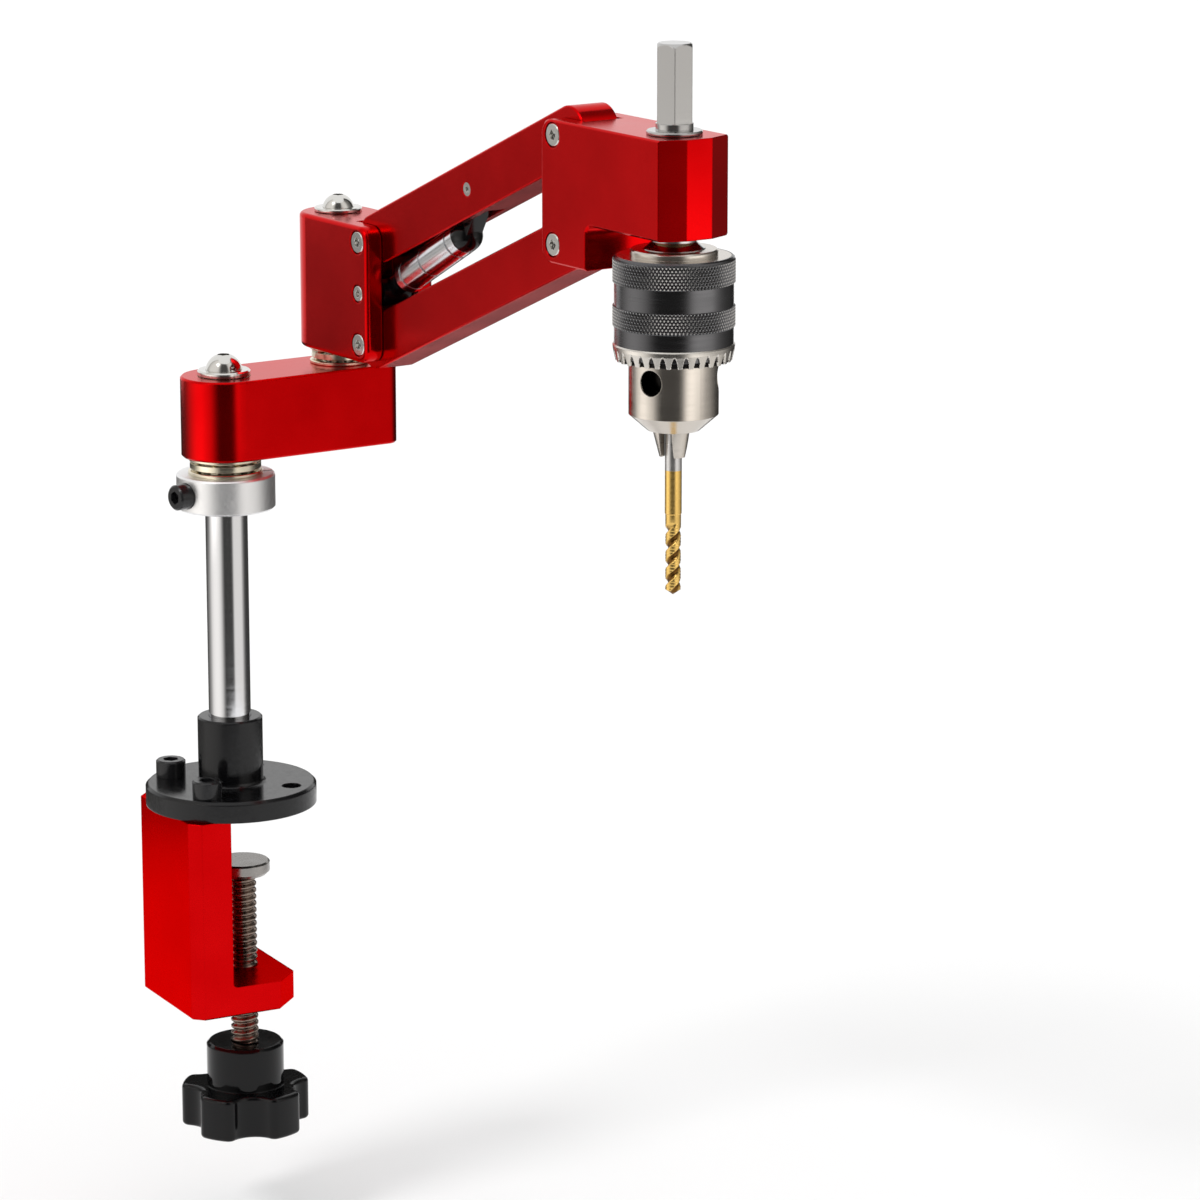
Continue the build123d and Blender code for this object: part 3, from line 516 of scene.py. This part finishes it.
def gear_ring():
    """Bright ring under the sleeve: a plain rim, then teeth with pointed gaps between them."""
    bottom = sleeve_low.z
    top = bottom + GEAR_HEIGHT
    gap_top = top - GEAR_RIM
    columns = GEAR_TEETH * TOOTH_COLUMNS
    from_gap = 1 - wave(np.arange(columns) / TOOTH_COLUMNS)     # 0 in mid-gap, 1 in mid-tooth
    rows = [(top, CHUCK_RADIUS + SHELL_GAP), (top, sleeve_radius - GEAR_CHAMFER),
            (top - GEAR_CHAMFER, sleeve_radius), (gap_top + GEAR_STEP, sleeve_radius - GEAR_STEP)]
    for step in range(TOOTH_ROWS + 1):
        share = step / TOOTH_ROWS
        outer = sleeve_radius - GEAR_STEP - GEAR_TAPER * share
        width = GAP_WIDTH * share ** GAP_ARCH
        cut = np.clip((width - from_gap) / GAP_FLANK, 0, 1)
        depth = TOOTH_DEPTH * min(1.0, share * GAP_RAMP)
        rows.append((gap_top + (bottom - gap_top) * share, outer - depth * cut))
    bore = CHUCK_RADIUS + GEAR_FIT
    rows += [(bottom, bore), (bottom + GEAR_LIP, bore)]
    relief_piece("gear_ring", sleeve_axis, rows, columns,
                 node="chuck_sleeve", body="chuck_sleeve", look="gear_steel")


def threaded_screw():
    """The clamp's screw: a plain neck in the pad, then a thread with flat crests and roots."""
    neck = screw_high.z - SCREW_NECK
    root = screw_radius - THREAD_DEPTH
    around = np.arange(THREAD_COLUMNS) / THREAD_COLUMNS
    rows = [(screw_high.z, 0.0), (screw_high.z, SCREW_NECK_RADIUS),
            (neck, SCREW_NECK_RADIUS), (neck, root)]
    steps = round((neck - screw_low.z) / THREAD_PITCH * THREAD_ROWS)
    for step in range(1, steps + 1):
        height = neck + (screw_low.z - neck) * step / steps
        run_out = min(1.0, (neck - height) / THREAD_RUN_OUT)
        flank = (wave(height / THREAD_PITCH - around) - THREAD_ROOT) / THREAD_FLANK
        rows.append((height, root + THREAD_DEPTH * np.clip(flank, 0, 1) * run_out))
    rows.append((screw_low.z, 0.0))
    relief_piece("threaded_screw", screw_axis, rows, THREAD_COLUMNS,
                 node="clamp_screw", body="clamp_screw", look="screw_bronze")


def fluted_tap():
    """The bit: a plain shank, then two steep spiral flutes with a fine thread on their lands."""
    land = bit_radius * BIT_LAND
    core = bit_radius * BIT_CORE
    around = np.arange(BIT_COLUMNS) / BIT_COLUMNS
    flute_top = bit_low.z + BIT_FLUTED
    point_top = bit_low.z + BIT_POINT
    neck_top = flute_top + BIT_NECK
    rows = [(bit_high.z, 0.0), (bit_high.z, bit_radius),
            (neck_top + BIT_STEP, bit_radius), (neck_top, land)]
    for step in range(BIT_ROWS + 1):
        height = flute_top + (point_top - flute_top) * step / BIT_ROWS
        run_out = min(1.0, (flute_top - height) / FLUTE_RUN_OUT)
        off_flute = wave(FLUTES * (around - height / FLUTE_LEAD))
        side = np.clip((FLUTE_WIDTH - off_flute) / FLUTE_SIDE, 0, 1)
        valley = np.sin(side * math.pi / 2) * run_out
        groove = TAP_DEPTH * (1 - wave(height / TAP_PITCH + around)) * run_out
        rows.append((height, land - (land - core) * valley - groove * (1 - valley)))
    rows += [((bit_low.z + point_top) / 2, land / 2), (bit_low.z, BIT_TIP_RADIUS), (bit_low.z, 0.0)]
    relief_piece("fluted_tap", bit_axis, rows, BIT_COLUMNS,
                 node="tap_bit", body="spindle", look="bit_gold")


knurled_sleeve()
gear_ring()
threaded_screw()
fluted_tap()


# ---- floor, light and camera
def direction(azimuth, elevation):
    """From the object toward a point at this azimuth and elevation, in degrees."""
    turn = math.radians(azimuth)
    rise = math.radians(elevation)
    return Vector((math.sin(turn) * math.cos(rise), -math.cos(turn) * math.cos(rise),
                   math.sin(rise)))


def aim(thing, azimuth, elevation):
    """Make a light or the camera look from this side toward the object."""
    thing.rotation_euler = direction(azimuth, elevation).to_track_quat("Z", "Y").to_euler()


def pale_floor():
    """A plain floor, low enough for the knob when the clamp is fully open."""
    floor_level = foot_level - CLAMP_TRAVEL - FLOOR_GAP
    bpy.ops.mesh.primitive_plane_add(size=FLOOR_SIZE, location=(0, 0, floor_level))
    floor = bpy.context.object
    floor.name = "floor"
    look = Shader("floor", (0.86, 0.86, 0.86), metallic=0.0, roughness=0.7, specular=0.1)
    floor.data.materials.append(look.material)


# What shiny surfaces mirror round the object: at each azimuth the brightness of five bands,
# and the height where the ring ends there, in metres above the knob's underside.
# Each band is placed by the levels that name it, and the bands run into each other between them.
CLAMP, BOSS, COLLAR, ARM, HEAD = range(5)
GLOW_LEVELS = ((0.0, CLAMP), (0.085, CLAMP), (0.115, BOSS), (0.178, COLLAR),
               (0.203, ARM), (0.24, ARM), (0.252, HEAD), (1.0, HEAD))
SURROUNDINGS = (
    # azimuth, clamp, boss, collar, arm, head, end
    (-50, 0.06, 0.06, 0.08, 0.08, 0.08, 1.0),
    (-10, 0.06, 0.06, 0.08, 0.08, 0.08, 1.0),
    (-3, 0.10, 0.20, 0.25, 0.14, 0.14, 1.0),
    (3, 0.30, 0.80, 0.90, 0.45, 0.45, 1.0),
    (9, 0.75, 1.10, 1.60, 1.30, 0.75, 1.0),
    (18, 0.85, 0.75, 1.70, 1.80, 0.80, 1.0),
    (30, 0.85, 0.55, 1.20, 1.90, 0.85, 1.0),
    (42, 0.85, 0.52, 0.72, 1.80, 0.85, 1.0),
    (52, 0.85, 0.52, 0.48, 0.90, 0.80, 1.0),
    (64, 0.80, 0.50, 0.38, 0.40, 0.40, 1.0),
    (76, 0.40, 0.30, 0.22, 0.22, 0.22, 1.0),
    (90, 0.12, 0.12, 0.10, 0.16, 0.16, 1.0),
    (105, 0.05, 0.05, 0.04, 0.05, 0.05, 1.0),
    (125, 0.05, 0.05, 0.04, 0.05, 0.05, 0.16),
    (190, 0.08, 0.05, 0.05, 0.05, 0.05, 0.16),
    (206, 0.22, 0.12, 0.15, 0.20, 0.25, 0.16),
    (214, 0.34, 0.20, 0.36, 0.32, 0.45, 0.30),
    (222, 0.50, 0.36, 0.70, 0.42, 0.65, 1.0),
    (232, 0.85, 0.90, 1.00, 0.68, 0.85, 1.0),
    (246, 1.05, 1.80, 1.15, 1.25, 0.90, 1.0),
    (262, 1.10, 2.00, 1.15, 1.40, 0.90, 1.0),
    (276, 1.00, 1.40, 1.00, 1.20, 0.90, 1.0),
    (288, 0.75, 1.10, 0.75, 0.80, 0.80, 1.0),
    (301, 0.25, 0.40, 0.25, 0.25, 0.25, 1.0),
    (310, 0.06, 0.06, 0.08, 0.08, 0.08, 1.0),
)
GLOW_COLOUR = (1.0, 0.97, 0.935)       # a little warm


def glow_material():
    """Emission in the colours painted on the mesh."""
    look = bpy.data.materials.new("surroundings")
    look.use_nodes = True
    nodes = look.node_tree.nodes
    nodes.clear()
    painted = nodes.new("ShaderNodeVertexColor")
    painted.layer_name = "glow"
    emission = nodes.new("ShaderNodeEmission")
    output = nodes.new("ShaderNodeOutputMaterial")
    look.node_tree.links.new(painted.outputs["Color"], emission.inputs["Color"])
    look.node_tree.links.new(emission.outputs[0], output.inputs["Surface"])
    return look


def surroundings():
    """A ring of soft studio reflections, hidden from the camera and from diffuse surfaces."""
    table = np.array(SURROUNDINGS)
    azimuths = table[:, 0]
    bands = table[:, 1:-1]
    turns = np.arange(azimuths[0], azimuths[-1], RING_STEP)
    ends = np.interp(turns, azimuths, table[:, -1])
    points = []
    glow = []
    for level, band in GLOW_LEVELS:
        values = np.interp(turns, azimuths, bands[:, band])
        for turn, value, end in zip(turns, values, ends):
            spot = RING_CENTRE + direction(turn, 0) * RING_RADIUS
            points.append((spot.x, spot.y, foot_level + min(level, end)))
            glow += [*(value * part for part in GLOW_COLOUR), 1.0]
    count = len(turns)
    faces = [(row * count + step, row * count + (step + 1) % count,
              (row + 1) * count + (step + 1) % count, (row + 1) * count + step)
             for row in range(len(GLOW_LEVELS) - 1) for step in range(count)]
    mesh = bpy.data.meshes.new("surroundings")
    mesh.from_pydata(points, [], faces)
    mesh.color_attributes.new("glow", "FLOAT_COLOR", "POINT").data.foreach_set("color", glow)
    mesh.materials.append(glow_material())
    ring = bpy.data.objects.new("surroundings", mesh)
    bpy.context.scene.collection.objects.link(ring)
    ring.visible_camera = False
    ring.visible_diffuse = False
    ring.visible_shadow = False
    ring.visible_transmission = False


def soft_sun():
    lamp = bpy.data.lights.new("key", "SUN")
    lamp.energy = SUN_ENERGY
    lamp.angle = math.radians(SUN_WIDTH)
    sun = bpy.data.objects.new("key", lamp)
    bpy.context.scene.collection.objects.link(sun)
    aim(sun, SUN_AZIMUTH, SUN_ELEVATION)


def white_world():
    world = bpy.data.worlds.new("studio")
    bpy.context.scene.world = world
    world.use_nodes = True
    background = world.node_tree.nodes["Background"]
    background.inputs["Color"].default_value = (1, 1, 1, 1)
    background.inputs["Strength"].default_value = 1.0


def photo_camera():
    """The camera, as fitted to the photograph."""
    lens = bpy.data.cameras.new("camera")
    lens.lens = CAMERA_LENS
    lens.sensor_width = CAMERA_SENSOR
    camera = bpy.data.objects.new("camera", lens)
    bpy.context.scene.collection.objects.link(camera)
    camera.location = TARGET + direction(CAMERA_AZIMUTH, CAMERA_ELEVATION) * CAMERA_DISTANCE
    aim(camera, CAMERA_AZIMUTH, CAMERA_ELEVATION)
    bpy.context.scene.camera = camera


bpy.context.scene.view_settings.view_transform = "Standard"
pale_floor()
surroundings()
soft_sun()
white_world()
photo_camera()
